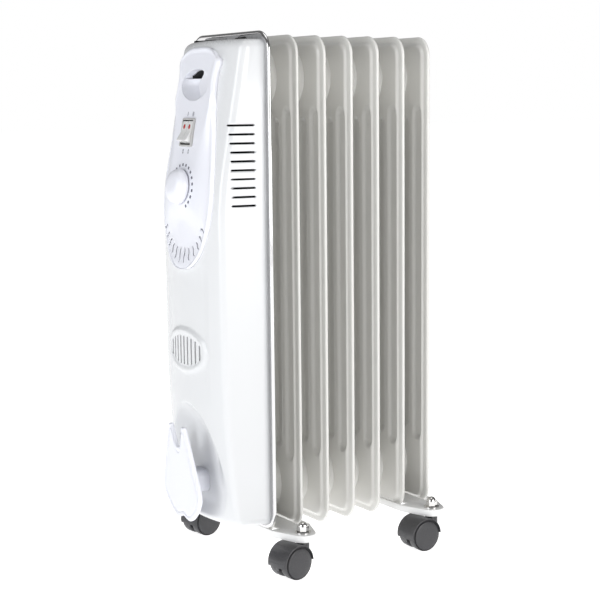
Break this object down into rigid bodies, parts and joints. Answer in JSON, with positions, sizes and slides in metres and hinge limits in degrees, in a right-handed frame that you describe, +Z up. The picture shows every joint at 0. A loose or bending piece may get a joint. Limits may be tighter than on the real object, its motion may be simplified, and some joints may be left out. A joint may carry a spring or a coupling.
{
  "type": "oil filled radiator heater",
  "caption": "Free-standing oil filled radiator: hollow steel fins, moulded control housing with knob, twin rockers, finger recess and cord wrap, on slotted brackets with swivel casters.",
  "frame": {"origin": "on the floor under the casters, below the centre of the overall box", "axes": "+X to the right as seen from the front, +Y to the back away from the control panel, +Z up"},
  "size_m": [0.256, 0.33, 0.624],
  "materials": {
    "fin_paint": "gloss white enamel",
    "bracket_paint": "gloss white enamel",
    "housing_white": "satin gloss white",
    "panel_white": "satin gloss cool white",
    "trim_chrome": "polished",
    "nut_chrome": "polished",
    "caster_charcoal": "satin moulded",
    "lens_red": "translucent red",
    "rocker_grey": "gloss",
    "bezel_grey": "satin",
    "inner_plastic": "matte",
    "gasket_rubber": "matte",
    "element_steel": "bright drawn",
    "plug_brass": "turned",
    "plain_steel": "zinc plated"
  },
  "bodies": {
    "heater": {"bracket_front": "bracket_paint", "bracket_rear": "bracket_paint", "caster_stems": "plain_steel", "control_panel": "panel_white", "cord_gland": "inner_plastic", "cord_wrap": "panel_white", "cord_wrap_screws": "plain_steel", "dome_nuts": "nut_chrome", "element_flange": "plain_steel", "filler_plug": "plug_brass", "fin_1": "fin_paint", "fin_2": "fin_paint", "fin_3": "fin_paint", "fin_4": "fin_paint", "fin_5": "fin_paint", "fin_6": "fin_paint", "fin_7": "fin_paint", "flange_bolts": "plain_steel", "flange_gasket": "gasket_rubber", "handle_cup": "panel_white", "heating_element": "element_steel", "housing_shell": "housing_white", "stem_washers": "nut_chrome", "switch_bezel": "bezel_grey", "switch_body": "inner_plastic", "switch_pivot": "plain_steel", "terminal_block": "inner_plastic", "thermal_cutout": "inner_plastic", "thermostat_body": "inner_plastic", "trim_plate": "trim_chrome", "u_bolt_nuts": "plain_steel", "u_bolts": "plain_steel", "wiring_plate": "plain_steel"},
    "knob": {"thermostat_knob": "panel_white", "thermostat_shaft": "plain_steel"},
    "rocker_left_body": {"rocker_left": "rocker_grey", "rocker_lens_left": "lens_red"},
    "rocker_right_body": {"rocker_right": "rocker_grey", "rocker_lens_right": "lens_red"},
    "caster_front_left": {"caster_front_left_body": "caster_charcoal", "caster_front_left_axle": "plain_steel"},
    "caster_front_left_wheel_l_spin": {"caster_front_left_wheel_l": "caster_charcoal"},
    "caster_front_left_wheel_r_spin": {"caster_front_left_wheel_r": "caster_charcoal"},
    "caster_front_right": {"caster_front_right_body": "caster_charcoal", "caster_front_right_axle": "plain_steel"},
    "caster_front_right_wheel_l_spin": {"caster_front_right_wheel_l": "caster_charcoal"},
    "caster_front_right_wheel_r_spin": {"caster_front_right_wheel_r": "caster_charcoal"},
    "caster_rear_left": {"caster_rear_left_body": "caster_charcoal", "caster_rear_left_axle": "plain_steel"},
    "caster_rear_left_wheel_l_spin": {"caster_rear_left_wheel_l": "caster_charcoal"},
    "caster_rear_left_wheel_r_spin": {"caster_rear_left_wheel_r": "caster_charcoal"},
    "caster_rear_right": {"caster_rear_right_body": "caster_charcoal", "caster_rear_right_axle": "plain_steel"},
    "caster_rear_right_wheel_l_spin": {"caster_rear_right_wheel_l": "caster_charcoal"},
    "caster_rear_right_wheel_r_spin": {"caster_rear_right_wheel_r": "caster_charcoal"}
  },
  "joints": [
    {"name": "knob_turn", "type": "hinge", "parent": "heater", "child": "knob", "pos_m": [0, -0.14752, 0.449], "axis": [0, 0.9923, -0.1236], "range_deg": [0, 270]},
    {"name": "rocker_left_press", "type": "hinge", "parent": "heater", "child": "rocker_left_body", "pos_m": [-0.0059, -0.13432, 0.5105], "axis": [1, 0, 0], "range_deg": [0, 30]},
    {"name": "rocker_right_press", "type": "hinge", "parent": "heater", "child": "rocker_right_body", "pos_m": [0.0059, -0.13432, 0.5105], "axis": [1, 0, 0], "range_deg": [0, 30]},
    {"name": "caster_front_left_swivel", "type": "hinge", "parent": "heater", "child": "caster_front_left", "pos_m": [-0.1057, -0.05217, 0.038], "axis": [0, 0, 1], "continuous": true},
    {"name": "caster_front_left_wheel_l_roll", "type": "hinge", "parent": "caster_front_left", "child": "caster_front_left_wheel_l_spin", "pos_m": [-0.10286, -0.07095, 0.0195], "axis": [0.9888, 0.1495, 0], "continuous": true},
    {"name": "caster_front_left_wheel_r_roll", "type": "hinge", "parent": "caster_front_left", "child": "caster_front_left_wheel_r_spin", "pos_m": [-0.10286, -0.07095, 0.0195], "axis": [0.9888, 0.1495, 0], "continuous": true},
    {"name": "caster_front_right_swivel", "type": "hinge", "parent": "heater", "child": "caster_front_right", "pos_m": [0.1057, -0.05217, 0.038], "axis": [0, 0, 1], "continuous": true},
    {"name": "caster_front_right_wheel_l_roll", "type": "hinge", "parent": "caster_front_right", "child": "caster_front_right_wheel_l_spin", "pos_m": [0.10854, -0.07095, 0.0195], "axis": [0.9888, 0.1495, 0], "continuous": true},
    {"name": "caster_front_right_wheel_r_roll", "type": "hinge", "parent": "caster_front_right", "child": "caster_front_right_wheel_r_spin", "pos_m": [0.10854, -0.07095, 0.0195], "axis": [0.9888, 0.1495, 0], "continuous": true},
    {"name": "caster_rear_left_swivel", "type": "hinge", "parent": "heater", "child": "caster_rear_left", "pos_m": [-0.1057, 0.13633, 0.038], "axis": [0, 0, 1], "continuous": true},
    {"name": "caster_rear_left_wheel_l_roll", "type": "hinge", "parent": "caster_rear_left", "child": "caster_rear_left_wheel_l_spin", "pos_m": [-0.10854, 0.11755, 0.0195], "axis": [0.9888, -0.1495, 0], "continuous": true},
    {"name": "caster_rear_left_wheel_r_roll", "type": "hinge", "parent": "caster_rear_left", "child": "caster_rear_left_wheel_r_spin", "pos_m": [-0.10854, 0.11755, 0.0195], "axis": [0.9888, -0.1495, 0], "continuous": true},
    {"name": "caster_rear_right_swivel", "type": "hinge", "parent": "heater", "child": "caster_rear_right", "pos_m": [0.1057, 0.13633, 0.038], "axis": [0, 0, 1], "continuous": true},
    {"name": "caster_rear_right_wheel_l_roll", "type": "hinge", "parent": "caster_rear_right", "child": "caster_rear_right_wheel_l_spin", "pos_m": [0.1057, 0.11733, 0.0195], "axis": [1, 0, 0], "continuous": true},
    {"name": "caster_rear_right_wheel_r_roll", "type": "hinge", "parent": "caster_rear_right", "child": "caster_rear_right_wheel_r_spin", "pos_m": [0.1057, 0.11733, 0.0195], "axis": [1, 0, 0], "continuous": true}
  ]
}
